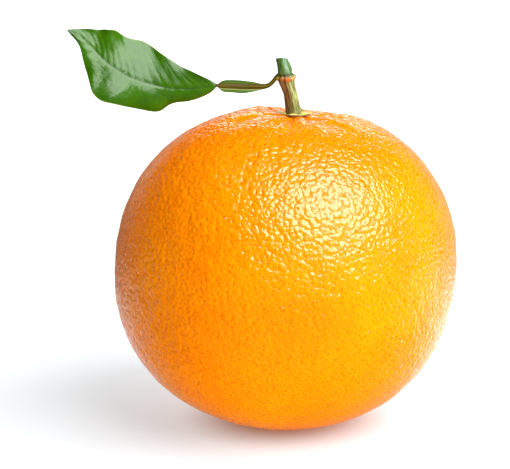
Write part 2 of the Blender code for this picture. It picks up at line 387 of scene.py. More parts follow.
def fibre_group():
    """Streaks that run along a straightened tube: noise squeezed across it and drawn out along it."""
    inputs = {"Straight": (0.0, 0.0, 0.0), "Across Scale": 1500.0, "Length Ratio": 0.1, "Sharpness": 0.2}
    graph, given, out = new_group("fibre_streaks", inputs, {"Mask": 1})
    ratio = graph.node("ShaderNodeCombineXYZ", {0: 1.0, 1: 1.0, 2: given["Length Ratio"]}).outputs[0]
    drawn = graph.noise(graph.scaled(given["Straight"], ratio), given["Across Scale"], 3.0, 0.6)
    low = graph.math("SUBTRACT", 0.5, given["Sharpness"])
    high = graph.math("ADD", 0.5, given["Sharpness"])
    return finish_group(graph, out, {"Mask": graph.smooth(drawn, low, high)})


def relief_group():
    """A bump from a height in millimetres, so that every material states its relief at real size."""
    graph, given, out = new_group("relief", {"Height mm": 0.0, "Strength": 1.0}, {"Normal": 3})
    bump = graph.node(
        "ShaderNodeBump", {"Height": given["Height mm"], "Strength": given["Strength"], "Distance": MM}
    )
    return finish_group(graph, out, {"Normal": bump.outputs["Normal"]})


VEIN_CURVE = 1.3  # how the side veins bend: the power of the distance from the midrib
VEIN_SWEEP = 1.8  # how many veins further on a side vein ends than it began


def vein_group():
    """Side veins of a blade: a wave that counts along the midrib and sweeps forward towards the margin."""
    inputs = {"Along": 0.0, "Across": 0.0, "Count": 12.0, "Sweep": 2.0, "Width": 0.2}
    graph, given, out = new_group("side_veins", inputs, {"Mask": 1})
    sideways = graph.math("ABSOLUTE", given["Across"])
    swept = graph.times(graph.math("POWER", sideways, VEIN_CURVE), given["Sweep"])
    phase = graph.math("SUBTRACT", graph.times(given["Along"], given["Count"]), swept)
    distance = graph.math("PINGPONG", phase, 0.5)
    line = graph.smooth(distance, given["Width"], 0.0)
    fading = graph.smooth(sideways, 1.0, 0.55, 0.25, 1.0)
    return finish_group(graph, out, {"Mask": graph.times(line, fading)})


GROUPS = {}


def shared(graph, maker, output, **inputs):
    """Places the shader group of that maker and gives one output; the group is made when first asked for.

    An input's underscores stand for the spaces in its title.
    """
    if maker not in GROUPS:
        GROUPS[maker] = maker()
    titled = {title.replace("_", " "): value for title, value in inputs.items()}
    return graph.node("ShaderNodeGroup", titled, node_tree=GROUPS[maker]).outputs[output]


def new_material(name, **uniform):
    """A material with one Principled shader, whose sockets that don't vary are set here."""
    material = bpy.data.materials.new(name)
    material.use_nodes = True
    shader = material.node_tree.nodes["Principled BSDF"]
    for title, value in uniform.items():
        shader.inputs[title.replace("_", " ").title().replace("Ior", "IOR")].default_value = value
    return material, Graph(material.node_tree), shader


def wire(graph, shader, colour, roughness, height):
    """Links the colour, the roughness and the relief of a height in millimetres to the shader."""
    normal = shared(graph, relief_group, "Normal", Height_mm=height)
    for title, socket in (("Base Color", colour), ("Roughness", roughness), ("Normal", normal)):
        graph.tree.links.new(socket, shader.inputs[title])


def length_property(name, description, default, least=0.0):
    """A length that a user may change, in metres."""
    return FloatProperty(
        name=name, description=description, default=default, min=least, unit="LENGTH", precision=6
    )


def colour_property(name, description, *rgb):
    """A linear colour that a user may change."""
    return FloatVectorProperty(
        name=name, description=description, default=(*rgb, 1.0), subtype="COLOR", size=4, min=0.0, max=1.0
    )


# ---------------------------------------------------------------- fruit


class OrangePeelSettings(PropertyGroup):
    """Sizes and colours of the peel."""

    pore_spacing: length_property(
        "Pore Spacing", "Distance between neighbouring pores", 1.12 * MM, 1.0 * MM
    )
    pore_depth: length_property("Pore Depth", "Depth of the deepest pores", 0.13 * MM)
    pebble_height: length_property(
        "Pebble Height", "Height of the peel's swellings between groups of pores", 0.12 * MM
    )
    ground: colour_property("Peel", "Main colour of the peel", 0.94, 0.262, 0.0005)
    patch: colour_property("Riper Patches", "Deeper orange of the riper patches", 0.92, 0.215, 0.0004)
    # Painted shade: the darker pore colour stands for the shade that falls in the pits.
    pore: colour_property("Pores", "Colour at the bottom of a pore", 0.78, 0.095, 0.0)


PORE_SEED = 11
PORE_NUDGE = 0.42  # how far a pore may stray, in pore spacings
STRENGTH_SEED = 5
SWELLINGS = ((22.0 * MM, 1), (4.2 * MM, 2), (1.9 * MM, 3))  # cell and seed of the three sizes of noise
WRINKLE_HEIGHT = 0.4 * MM
WRINKLE_CELL = 0.16  # in radii of the fruit
SHOULDER_RADIUS = 9.0 * MM  # where the wrinkles round the hollow are strongest, and how far they spread


def pore_lattice(count):
    """Pore directions: a golden-angle spiral of even density, each point nudged at random."""
    order = np.arange(count) + 0.5
    cosine = 1 - 2 * order / count
    azimuth = order * math.pi * (3 - math.sqrt(5))
    sine = np.sqrt(1 - cosine**2)
    even = np.stack([sine * np.cos(azimuth), sine * np.sin(azimuth), cosine], -1)
    nudge = np.random.default_rng(PORE_SEED).uniform(-1, 1, size=even.shape)
    return unit(even + nudge * PORE_NUDGE * math.sqrt(4 * math.pi / count))


def join_pores(directions):
    """Triangles between neighbouring pores: a flat Delaunay net of the pores seen from the stem pole.

    Each direction is projected from that pole onto a plane, which keeps circles round, so the flat
    net is also the right one on the ball. The hole left at the pole is closed by a fan.
    """
    flat = directions[:, :2] / (1 - directions[:, 2:])
    _, _, faces, origins, _, _ = geometry.delaunay_2d_cdt(flat.tolist(), [], [], 0, 0.0)
    first = np.array([origin[0] for origin in origins])
    net = first[np.array(faces)]
    ends = np.concatenate([net[:, [0, 1]], net[:, [1, 2]], net[:, [2, 0]]])
    _, index, uses = np.unique(np.sort(ends, 1), axis=0, return_inverse=True, return_counts=True)
    rim = ends[uses[index.ravel()] == 1]
    hub = np.full((len(rim), 1), len(directions))
    net = np.concatenate([net, np.hstack([rim[:, ::-1], hub])])
    return np.vstack([directions, (0, 0, 1)]), net[:, ::-1]


def halve_edges(points, net):
    """Each triangle becomes four. Returns the points with the edges' middles added, and the new net."""
    ends = np.concatenate([net[:, [0, 1]], net[:, [1, 2]], net[:, [2, 0]]])
    edges, index = np.unique(np.sort(ends, 1), axis=0, return_inverse=True)
    middles = points[edges].mean(axis=1)
    ab, bc, ca = (index.ravel() + len(points)).reshape(3, -1)
    a, b, c = net.T
    parts = ((a, ab, ca), (b, bc, ab), (c, ca, bc), (ab, bc, ca))
    return np.vstack([points, middles]), np.concatenate([np.stack(part, -1) for part in parts])


def peel_surface(settings):
    """The peel as a net of triangles, with each corner's pore strength.

    The net's corners are the pores and the middles between them. The smooth form is moved along
    its radius by three sizes of noise, by wrinkles round the stem and by a dip at every pore, and
    whatever would reach below the floor is pressed flat onto it.
    """
    area = 4 * math.pi * FRUIT_RADIUS * FRUIT_HALF_HEIGHT
    count = int(area / (0.866 * settings.pore_spacing**2))
    directions, net = join_pores(pore_lattice(count))
    strength = np.random.default_rng(STRENGTH_SEED).beta(2.2, 2.0, len(directions))
    strength[-1] = 0.0
    directions, net = halve_edges(directions, net)
    directions = unit(directions)
    strength = np.concatenate([strength, np.zeros(len(directions) - len(strength))])
    polar = np.arccos(np.clip(directions[:, 2], -1, 1))
    azimuth = np.arctan2(directions[:, 1], directions[:, 0])
    points = peel_form(polar, azimuth)
    outward = unit(points)
    from_axis = FRUIT_RADIUS * np.sin(polar)
    top = directions[:, 2] > 0
    calm = 1 - 0.8 * bell(from_axis, 3 * MM)
    broad, middling, small = (lattice_noise(points, cell, seed) for cell, seed in SWELLINGS)
    height = 0.3 * MM * broad
    height += settings.pebble_height * middling
    height += 0.55 * settings.pebble_height * small
    wrapped = np.stack([np.cos(azimuth), np.sin(azimuth), polar], -1)
    wrinkles = WRINKLE_HEIGHT * lattice_noise(wrapped, WRINKLE_CELL, 4)
    height += np.where(top, wrinkles * bell(from_axis - SHOULDER_RADIUS, SHOULDER_RADIUS), 0.0)
    height -= settings.pore_depth * strength
    points = points + outward * (height * calm)[:, None] + CENTRE
    points[:, 2] = np.maximum(points[:, 2], 0.0)  # the pressed spot
    return points, [net], {"pore": strength * calm}


def peel_material(settings):
    material, graph, shader = new_material(
        "peel", ior=1.42, specular_ior_level=0.45, subsurface_weight=0.12, subsurface_scale=0.004
    )
    shader.inputs["Subsurface Radius"].default_value = (1.0, 0.35, 0.05)
    where = graph.position()
    colour = shared(
        graph, mottle_group, "Color",
        Vector=where, Ground=settings.ground, Patch=settings.patch, Scale=45.0, Amount=1.0,
    )
    pore = graph.attribute("pore").outputs["Fac"]
    pit = graph.smooth(pore, 0.2, 0.85)
    # Painted shade: the pores' darker colour, mixed in by pore strength, stands for the shade in the pits.
    colour = graph.mix(graph.times(pore, 0.75, clamp=True), colour, settings.pore)
    pebbles = graph.noise(where, 760.0, 2.0, 0.55)
    wax = graph.noise(where, 2600.0, 2.0, 0.6)
    domes = graph.math("POWER", graph.cells(where, 850.0), 2.0)
    height = graph.weighted((pit, -0.08), (pebbles, 0.26), (domes, -0.3), (wax, 0.006))
    wire(graph, shader, colour, graph.smooth(wax, 0.3, 0.7, 0.06, 0.1), height)
    return material


class ORANGE_OT_fruit(Operator):
    """Build the fruit with its pitted peel, stem hollow and pressed resting spot"""

    bl_idname = "orange.fruit"
    bl_label = "Fruit"

    def execute(self, context):
        make_piece("fruit_peel", peel_surface, peel_material, context.scene.orange_peel, "fruit")
        return {"FINISHED"}


# ---------------------------------------------------------------- calyx


class OrangeCalyxSettings(PropertyGroup):
    """Sizes and colours of the calyx."""

    lobe_radius: length_property(
        "Lobe Radius", "From the middle of the star to the tip of a lobe", 4.3 * MM, 1.0 * MM
    )
    waist_radius: length_property(
        "Waist Radius", "From the middle of the star to the notch between two lobes", 2.5 * MM, 1.0 * MM
    )
    fresh: colour_property("Fresh Sepal", "Pale green of the living middle", 0.6, 0.5, 0.11)
    patch: colour_property("Sepal Patches", "Greener patches of the living middle", 0.42, 0.46, 0.12)
    # This brown also paints part of the shade under the front lobes.
    dry_edge_and_shade: colour_property("Dry Edge", "Brown of the dried margins", 0.2, 0.085, 0.035)


CALYX_LOBES = 5
LOBE_PHASE = 3.1
LOBE_SHARPNESS = 1.6
HUB_THICKNESS = 1.01 * MM
RIM_THICKNESS = 0.28 * MM
CALYX_GAP = 0.02 * MM  # between the star and the smooth form under it


def calyx_surface(settings, rings=26, columns=180):
    """The star as a closed sheet: a polar grid on top, the same grid below, joined along the outline.

    The outline's radius is a raised cosine of five times the angle, sharpened to points and varied
    from lobe to lobe. The sheet follows the hollow, thins outwards, and its lobes lift at the tips.
    """
    azimuth = np.linspace(0, 2 * math.pi, columns, endpoint=False)
    share = np.linspace(0, 1, rings)[1:]
    turned = azimuth + 0.12 * np.sin(2 * azimuth + 1.0)
    lobe = (0.5 + 0.5 * np.cos(CALYX_LOBES * turned + LOBE_PHASE)) ** LOBE_SHARPNESS
    uneven = 1 + 0.14 * np.sin(azimuth * 2 + 0.6) + 0.06 * np.sin(azimuth * 13)
    outline = settings.waist_radius + (settings.lobe_radius - settings.waist_radius) * lobe * uneven
    ring, angle = np.meshgrid(share, azimuth, indexing="ij")
    from_axis = ring * outline
    seat = peel_form(np.arcsin(from_axis / FRUIT_HALF_HEIGHT), angle)
    rough = lattice_noise(seat, 0.9 * MM, 21)
    lift = 0.5 * MM * lobe * ring**4 * (0.4 + 0.6 * np.sin(angle * 3 + 0.5) ** 2)
    rib = 0.12 * MM * lobe**2 * (1 - ring)
    thickness = (HUB_THICKNESS - RIM_THICKNESS) * (1 - ring) + RIM_THICKNESS
    upper = seat.copy()
    upper[..., 2] += lift + thickness + rib + 0.09 * MM * rough * ring
    lower = seat.copy()
    lower[..., 2] += lift + CALYX_GAP
    star = np.stack([ring, np.broadcast_to(lobe, ring.shape), angle], -1)
    centre = peel_form(np.array([0.0]), np.array([0.0]))
    hubs = np.vstack([centre + (0, 0, HUB_THICKNESS), centre + (0, 0, CALYX_GAP)])
    points = np.vstack([upper.reshape(-1, 3), lower.reshape(-1, 3), hubs]) + CENTRE
    attribute = np.vstack([star.reshape(-1, 3), star.reshape(-1, 3), np.zeros((2, 3))])
    size = ring.size
    top = quads(rings - 1, columns, wrap=True)
    first = np.arange(columns)
    outer = first + size - columns
    rim = np.stack([outer, np.roll(outer, -1), np.roll(outer, -1) + size, outer + size], -1)
    faces = [
        top[:, ::-1],
        top + size,
        rim[:, ::-1],
        fan(first, 2 * size),
        fan(first + size, 2 * size + 1)[:, ::-1],
    ]
    return points, faces, {"star": attribute}


def calyx_material(settings):
    material, graph, shader = new_material("sepal", ior=1.4, specular_ior_level=0.3)
    star = graph.parts(graph.attribute("star").outputs["Vector"])
    where = graph.position()
    speckle = graph.noise(where, 1400.0, 3.0, 0.65)
    edge = graph.math("ADD", star["X"], graph.math("MULTIPLY_ADD", speckle, 0.5, -0.25))
    # Partly painted shade: the dry brown reaches further in towards the front right, where that dark wedge is
    # partly dried edge and partly shade under the lobe edges.
    front_right_lean = graph.math("COSINE", graph.math("ADD", star["Z"], 1.2))
    edge = graph.math("MULTIPLY_ADD", graph.times(front_right_lean, star["X"]), 0.3, edge)
    living = shared(
        graph, mottle_group, "Color",
        Vector=where, Ground=settings.fresh, Patch=settings.patch, Scale=500.0, Amount=0.8,
    )
    colour = graph.mix(graph.smooth(edge, 1.0, 1.25), living, settings.dry_edge_and_shade)
    roughness = graph.smooth(speckle, 0.3, 0.7, 0.55, 0.75)
    wire(graph, shader, colour, roughness, graph.times(speckle, 0.12))
    return material


class ORANGE_OT_calyx(Operator):
    """Build the five-lobed calyx that sits in the stem hollow"""

    bl_idname = "orange.calyx"
    bl_label = "Calyx"

    def execute(self, context):
        make_piece("calyx_star", calyx_surface, calyx_material, context.scene.orange_calyx, "calyx")
        return {"FINISHED"}


# ---------------------------------------------------------------- twig


class OrangeTwigSettings(PropertyGroup):
    """Sizes and colours of the twig."""

    ridge_height: length_property("Bark Ridges", "Height of the ridges that run along the bark", 0.07 * MM)
    bark: colour_property("Bark", "Brown of the older bark below the knuckle", 0.16, 0.075, 0.014)
    green: colour_property("Young Bark", "Green of the shoot above the knuckle", 0.036, 0.112, 0.008)
    wood: colour_property("Cut Wood", "Pale wood of the cut end", 0.62, 0.55, 0.33)


def tube_frames(line):
    """Unit vectors along, across and out of a centre line; the across one stays near +X."""
    along = unit(np.gradient(line, axis=0))
    across = unit(np.array((1.0, 0.0, 0.0)) - along * along[:, :1])
    return along, across, np.cross(along, across)


BARK_RADIUS = 1.8 * MM  # of the straightened tube on which the bark's streaks are drawn
YOUNG_FROM_MM = 47.2  # height about the fruit's centre at which the young green shoot begins
GROOVE_AT_MM = 47.35  # the groove over the knuckle
SHEAR_FROM_MM = 48.8  # from here up to the cut end the rings lean, so that the cut is slanted
SHEAR_LENGTH_MM = 2.2

# Scars on the knuckle: angle from +X about the twig in degrees, height, radius, and how far it stands
# out, in millimetres. -90 degrees faces the viewer.
KNUCKLE_SCARS = (
    (-165.0, 46.9, 0.75, 0.42),
    (-118.0, 46.75, 0.6, 0.3),
    (-82.0, 46.35, 0.8, 0.42),
    (-35.0, 46.35, 0.75, 0.5),
    (20.0, 46.5, 0.8, 0.35),
    (80.0, 46.7, 0.9, 0.3),
    (135.0, 46.8, 0.8, 0.3),
)


def twig_surface(settings, rings=190, columns=120, cap_rings=10):
    """The twig as a tube round its centre line, closed by a cut face above and a hub below.

    The radius at each ring swells at the knuckle. Ridges are noise that is drawn out along the
    twig, the scars are flat-topped swellings on the knuckle, and the cut face is a polar grid, moved
    slightly in and out by noise.
    """
    rows = [(*point, radius) for point, radius in TWIG_LINE_MM]
    curve = smooth_curve(rows, np.linspace(0, len(rows) - 1, rings)) * MM
    line, radius = curve[:, :3], curve[:, 3]
    along, across, out = tube_frames(line)
    angle = np.linspace(0, 2 * math.pi, columns, endpoint=False)
    around = np.cos(angle)[None, :, None] * across[:, None] + np.sin(angle)[None, :, None] * out[:, None]
    length = distance_along(line)
    straight_ring = BARK_RADIUS * np.stack([np.cos(angle), np.sin(angle), 0 * angle], -1)
    straight = straight_ring + length[:, None, None] * np.array((0.0, 0.0, 1.0))
    ridges = lattice_noise(straight * (1, 1, 0.16), 0.75 * MM, 31)
    ridges += 0.5 * lattice_noise(straight * (1, 1, 0.25), 0.34 * MM, 32)
    height_mm = line[:, None, 2] / MM
    young = 1 / (1 + np.exp(-(height_mm - YOUNG_FROM_MM) / 0.25))
    offset = settings.ridge_height * ridges * (1.15 - 0.75 * young)
    offset += 0.12 * MM * lattice_noise(straight, 2.2 * MM, 33)
    scars = np.zeros((rings, columns))
    for turn, level, size, stand in KNUCKLE_SCARS:
        sideways = (np.mod(angle - math.radians(turn) + math.pi, 2 * math.pi) - math.pi) * 2.0
        distance = np.hypot(sideways[None, :], (height_mm - level) * 1.15)
        swell = np.exp(-((distance / size) ** 4))
        scars = np.maximum(scars, swell)
        offset += stand * MM * swell
    offset = offset - bell(height_mm - GROOVE_AT_MM, 0.28) * 0.16 * MM
    tube = line[:, None] + around * (radius[:, None] + offset)[..., None]
    upper = np.clip((height_mm - SHEAR_FROM_MM) / SHEAR_LENGTH_MM, 0, 1)
    off_line = tube[..., :2] - line[:, None, :2]
    tube[..., 2] -= upper * (off_line @ np.array((0.28, 0.3)))
    edge = tube[-1]
    top = line[-1] + along[-1] * 0.06 * MM
    share = np.linspace(1, 0, cap_rings + 1)[1:-1]
    dip = 0.05 * MM * lattice_noise(straight[-1][None] * share[:, None, None], 0.5 * MM, 34)
    cap = top + (edge - line[-1]) * (0.97 * share)[:, None, None] + along[-1] * dip[..., None]
    points = np.vstack([tube.reshape(-1, 3), cap.reshape(-1, 3), line[:1], top[None]]) + CENTRE
    cap_straight = np.broadcast_to(straight[-1], cap.shape).reshape(-1, 3)
    ends = np.array([[0, 0, 0], [0, 0, length[-1]]])
    straight = np.vstack([straight.reshape(-1, 3), cap_straight, ends])
    level = np.broadcast_to(young, (rings, columns)).ravel()
    cut = np.concatenate([np.zeros(rings * columns), np.repeat(1.3 - share, columns), [0, 1.3]])
    on_cap = np.ones(cap.shape[0] * columns)
    level = np.concatenate([level, on_cap, [0, 1]])
    scars = np.concatenate([scars.ravel(), 0 * on_cap, [0, 0]])
    marks = np.stack([level, scars, cut], -1)
    return points, tube_faces(rings + len(share), columns), {"straight": straight, "twig": marks}


# Linear colours that break up the bark. The lit-side bark and the pale strip are painted light, and the
# knuckle's dark band is painted shade.
PALE_STREAK = (0.3, 0.17, 0.055, 1.0)
DARK_STREAK = (0.07, 0.028, 0.006, 1.0)
PAINTED_LIT_BARK = (0.36, 0.43, 0.14, 1.0)
BASE_BARK = (0.13, 0.16, 0.02, 1.0)
YOUNG_DARK_STREAK = (0.014, 0.05, 0.003, 1.0)
YOUNG_PALE_STREAK = (0.13, 0.22, 0.05, 1.0)
PAINTED_SHEEN_STRIP = (0.22, 0.35, 0.22, 1.0)
KNUCKLE_SHADE = (0.02, 0.018, 0.004, 1.0)
SCAR_LEFT = (0.34, 0.27, 0.03, 1.0)
SCAR_FRONT = (0.42, 0.1, 0.01, 1.0)
SCAR_RIGHT = (0.55, 0.24, 0.08, 1.0)


def twig_material(settings):
    material, graph, shader = new_material("twig", ior=1.45, specular_ior_level=0.22)
    marks = graph.parts(graph.attribute("twig").outputs["Vector"])
    straight = graph.attribute("straight").outputs["Vector"]
    broad, fine = (
        shared(
            graph, fibre_group, "Mask",
            Straight=straight, Across_Scale=scale, Length_Ratio=ratio, Sharpness=sharpness,
        )
        for scale, ratio, sharpness in ((1100.0, 0.14, 0.07), (2600.0, 0.16, 0.1))
    )
    place = graph.parts(straight)
    side = place["X"]
    old = graph.mix(broad, settings.bark, PALE_STREAK)
    # Painted light: the old bark is made paler and greener on its right, the side that faces the key light.
    old = graph.mix(graph.times(graph.smooth(side, -0.5 * MM, 0.7 * MM), 0.85), old, PAINTED_LIT_BARK)
    old = graph.mix(graph.smooth(place["Z"], 5.0 * MM, 1.5 * MM, 0.0, 0.6), old, BASE_BARK)
    old = graph.mix(graph.times(fine, 0.75), old, DARK_STREAK)
    new = graph.mix(graph.times(fine, 0.8), settings.green, YOUNG_DARK_STREAK)
    new = graph.mix(graph.times(broad, 0.6), new, YOUNG_PALE_STREAK)
    # Painted reflection: a pale blue-green strip down the young bark's right side stands for the sheen of the
    # bright surroundings.
    sheen_strip = graph.times(graph.smooth(side, -0.1 * MM, 0.35 * MM), graph.smooth(side, 1.5 * MM, 0.9 * MM))
    new = graph.mix(graph.times(sheen_strip, graph.smooth(fine, 1.0, 0.0, 0.3, 0.85)), new, PAINTED_SHEEN_STRIP)
    colour = graph.mix(marks["X"], old, new)
    scar = graph.mix(graph.smooth(side, -1.6 * MM, -0.3 * MM), SCAR_LEFT, SCAR_FRONT)
    scar = graph.mix(graph.smooth(side, 0.5 * MM, 1.5 * MM), scar, SCAR_RIGHT)
    shade = graph.math("ABSOLUTE", graph.math("SUBTRACT", marks["X"], 0.6))
    colour = graph.mix(graph.smooth(shade, 0.35, 0.05, 0.0, 0.8), colour, KNUCKLE_SHADE)
    colour = graph.mix(graph.smooth(marks["Y"], 0.2, 0.9), colour, scar)
    colour = graph.mix(graph.smooth(marks["Z"], 0.3, 0.42), colour, settings.wood)
    grain = graph.noise(graph.position(), 3000.0, 2.0, 0.6)
    height = graph.weighted((fine, -0.05), (broad, 0.05), (grain, 0.03))
    wire(graph, shader, colour, graph.smooth(marks["X"], 0.0, 1.0, 0.62, 0.4), height)
    return material


class ORANGE_OT_twig(Operator):
    """Build the twig with its streaked bark, knuckle scars and cut end"""

    bl_idname = "orange.twig"
    bl_label = "Twig"

    def execute(self, context):
        make_piece("cut_twig", twig_surface, twig_material, context.scene.orange_twig, "stem")
        return {"FINISHED"}


# ---------------------------------------------------------------- petiole


class OrangePetioleSettings(PropertyGroup):
    """Sizes and colours of the petiole."""

    wing_thickness: length_property(
        "Wing Thickness", "Thickness of the wings near their edge", 0.3 * MM, 0.1 * MM
    )
    wing: colour_property("Wing", "Green of the wings", 0.035, 0.085, 0.002)
    patch: colour_property("Wing Patches", "Paler patches of the wings", 0.06, 0.12, 0.004)
    rib: colour_property("Rib", "Brown green of the rib between the wings", 0.05, 0.036, 0.001)
    streak: colour_property("Rib Streaks", "Paler streaks along the rib", 0.11, 0.085, 0.004)
    line: colour_property("Pale Line", "Pale line along the lower wing", 0.26, 0.3, 0.1)


def petiole_surface(settings, rings=150, columns=72):
    """The stalk of the leaf: a closed section carried along its centre line.

    Across the section the half thickness is a thin wing plus a bell for the rib, and a sine closes
    it at both edges. A cosine adds fine lines beside the rib, and a square cups the wings. The half
    width opens from a round stalk into the wings and pinches at the blade.
    """
    rows = [(*point, *sizes) for point, *sizes in PETIOLE_LINE_MM]
    curve = smooth_curve(rows, np.linspace(0, len(rows) - 1, rings)) * MM
    line, half_width, half_thick = curve[:, :3], curve[:, 3], curve[:, 4]
    along = unit(np.gradient(line, axis=0))
    across = unit(PETIOLE_ACROSS - along * (along @ PETIOLE_ACROSS)[:, None])
    out = np.cross(across, along)
    angle = np.linspace(0, 2 * math.pi, columns, endpoint=False)
    place = np.cos(angle)[None] * half_width[:, None]
    wing = np.minimum(settings.wing_thickness / 2, half_thick)[:, None]
    rib = (half_thick[:, None] - wing) * bell(place, 0.5 * MM)
    thick = (wing + rib) * np.sin(angle)[None]
    lines = 0.035 * MM * np.cos(place / (0.16 * MM)) * bell(place, 0.7 * MM) * np.sin(angle)[None]
    cup = 0.12 * half_width[:, None] * (place / half_width[:, None]) ** 2 * (half_width[:, None] > 0.6 * MM)
    points = (
        line[:, None]
        + across[:, None] * place[..., None]
        + out[:, None] * (thick + lines + cup)[..., None]
    )
    length = distance_along(line)
    long_place = np.broadcast_to(length[:, None], place.shape)
    flat = np.stack([place, thick, long_place], -1)
    points = np.vstack([points.reshape(-1, 3), line[:1], line[-1:]]) + CENTRE
    flat = np.vstack([flat.reshape(-1, 3), [[0, 0, 0]], [[0, 0, length[-1]]]])
    return points, [part[:, ::-1] for part in tube_faces(rings, columns)], {"straight": flat}


def petiole_material(settings):
    material, graph, shader = new_material("petiole_green", ior=1.45, specular_ior_level=0.05)
    straight = graph.attribute("straight").outputs["Vector"]
    place = graph.parts(straight)["X"]
    streaks = shared(
        graph, fibre_group, "Mask",
        Straight=straight, Across_Scale=2200.0, Length_Ratio=0.06, Sharpness=0.14,
    )
    wing = shared(
        graph, mottle_group, "Color",
        Vector=graph.position(), Ground=settings.wing, Patch=settings.patch, Scale=300.0, Amount=0.8,
    )
    rib = graph.mix(graph.times(streaks, 0.7), settings.rib, settings.streak)
    inside = graph.smooth(graph.math("ABSOLUTE", place), 0.95 * MM, 0.6 * MM)
    colour = graph.mix(inside, wing, rib)
    from_line = graph.math("ABSOLUTE", graph.math("ADD", place, 0.72 * MM))
    line = graph.times(graph.smooth(from_line, 0.2 * MM, 0.03 * MM), 0.8)
    colour = graph.mix(line, colour, settings.line)
    wire(graph, shader, colour, graph.smooth(streaks, 0.0, 1.0, 0.45, 0.55), graph.times(streaks, 0.04))
    return material


class ORANGE_OT_petiole(Operator):
    """Build the winged stalk of the leaf"""

    bl_idname = "orange.petiole"
    bl_label = "Petiole"

    def execute(self, context):
        settings = context.scene.orange_petiole
        make_piece("winged_petiole", petiole_surface, petiole_material, settings, "petiole")
        return {"FINISHED"}


# ---------------------------------------------------------------- leaf


class OrangeLeafSettings(PropertyGroup):
    """Sizes and colours of the leaf blade."""

    thickness: length_property(
        "Thickness", "Thickness of the blade beside the midrib", 0.38 * MM, 0.1 * MM
    )
    veins: IntProperty(
        name="Side Veins", description="Pairs of side veins along the midrib", default=19, min=3, max=40,
    )
    upper: colour_property("Upper Side", "Dark green of the upper side", 0.02, 0.078, 0.0003)
    patch: colour_property("Upper Patches", "Paler patches of the upper side", 0.034, 0.115, 0.0006)
    lower: colour_property("Under Side", "Paler green of the under side", 0.12, 0.22, 0.05)
    vein: colour_property("Veins", "Yellow green of the midrib and side veins", 0.06, 0.15, 0.008)
    # Painted shade: this dark green stands for the shade in the groove over the midrib.
    groove: colour_property("Groove", "Dark green of the groove over the midrib", 0.008, 0.03, 0.0005)
    margin: colour_property("Margin", "Pale line round the blade", 0.2, 0.24, 0.03)


MARGIN_WAVES = 34.0  # radians of the margin's wave along the whole blade
MARGIN_CURL = (0.25 * MM, -0.7 * MM)  # of the upper and the lower margin, along the blade's normal
TIP_SHARE = 0.08  # share of the length over which the relief fades at both ends


def leaf_surface(settings, rows=220, columns=81):
    """The blade as a closed sheet: an upper and a lower grid that meet along the margin.

    Along each row a parabola runs through the lower margin, the midrib and the upper margin. The
    blade swells between side veins, waves at its margin, has a groove over the midrib and a ridge
    under it, and thins towards the margin by the square root of what is left.
    """
    along = np.linspace(0, 1, rows)
    stations = [[value * MM for point in station for value in point] for station in LEAF_STATIONS_MM]
    rails = smooth_curve(stations, along * (len(stations) - 1))
    midrib, upper, lower = rails[:, 0:3], rails[:, 3:6], rails[:, 6:9]
    across = np.sin(np.linspace(-math.pi / 2, math.pi / 2, columns))  # from -1 to 1, closer at the margins
    s, t = across[None, :, None], along[:, None]
    slope = ((lower - upper) / 2)[:, None]
    cup = ((upper + lower) / 2 - midrib)[:, None]
    middle = midrib[:, None] + slope * s + cup * s * s
    half_width = np.linalg.norm(slope, axis=-1)
    place = np.abs(across)[None] * half_width
    phase = along[:, None] * settings.veins - VEIN_SWEEP * np.abs(across)[None] ** VEIN_CURVE
    arch = np.sqrt(np.clip(1 - across**2, 0, 1))[None]
    quilt = np.cos(2 * math.pi * phase) * arch * bell(place, 9 * MM)
    ends = np.clip(np.minimum(t, 1 - t) / TIP_SHARE, 0, 1)
    wave = np.abs(across)[None] ** 3 * ends
    ripple = 0.3 * MM * wave * np.sin(along[:, None] * MARGIN_WAVES + 2.0 * across[None])
    ripple += 0.28 * MM * ends * lattice_noise(middle, 9 * MM, 41)
    ripple += 0.14 * MM * ends * lattice_noise(middle, 4 * MM, 42)
    normal = normals_of(middle)
    curl = np.where(across > 0, MARGIN_CURL[1], MARGIN_CURL[0])[None] * across[None] ** 4 * ends
    bend = ripple + curl - 0.022 * MM * quilt * ends
    middle = middle + normal * bend[..., None]
    groove = bell(place, 0.42 * MM) * ends
    full = settings.thickness * (0.35 + 0.65 * arch)
    shut = np.sqrt(np.clip(1 - across**4, 0, 1))[None] * np.clip(t / 0.004, 0.4, 1)
    half = full * shut / 2
    top = middle + normal * (half - 0.1 * MM * groove * shut)[..., None]
    bottom = middle - normal * (half + 0.3 * MM * groove * shut)[..., None]
    spread = np.broadcast_to(across[None], half.shape)
    length = np.broadcast_to(t, half.shape)
    blade = [np.stack([length, spread, np.full(half.shape, side)], -1) for side in (0.0, 1.0)]
    points = np.vstack([top.reshape(-1, 3), bottom[:, 1:-1].reshape(-1, 3)]) + CENTRE
    attribute = np.vstack([blade[0].reshape(-1, 3), blade[1][:, 1:-1].reshape(-1, 3)])
    upper_index = np.arange(rows * columns).reshape(rows, columns)
    inner = np.arange(rows * (columns - 2)).reshape(rows, columns - 2) + rows * columns
    lower_index = np.hstack([upper_index[:, :1], inner, upper_index[:, -1:]])
    sheet = quads(rows, columns)
    faces = [sheet[:, ::-1], lower_index.ravel()[sheet]]
    for row, turned in ((0, False), (rows - 1, True)):
        above, below = upper_index[row], lower_index[row]
        cap = np.stack([above[1:-2], above[2:-1], below[2:-1], below[1:-2]], -1)
        tips = np.array([(above[0], above[1], below[1]), (above[-1], below[-2], above[-2])])
        faces += [cap[:, ::-1], tips[:, ::-1]] if turned else [cap, tips]
    return points, faces, {"blade": attribute}


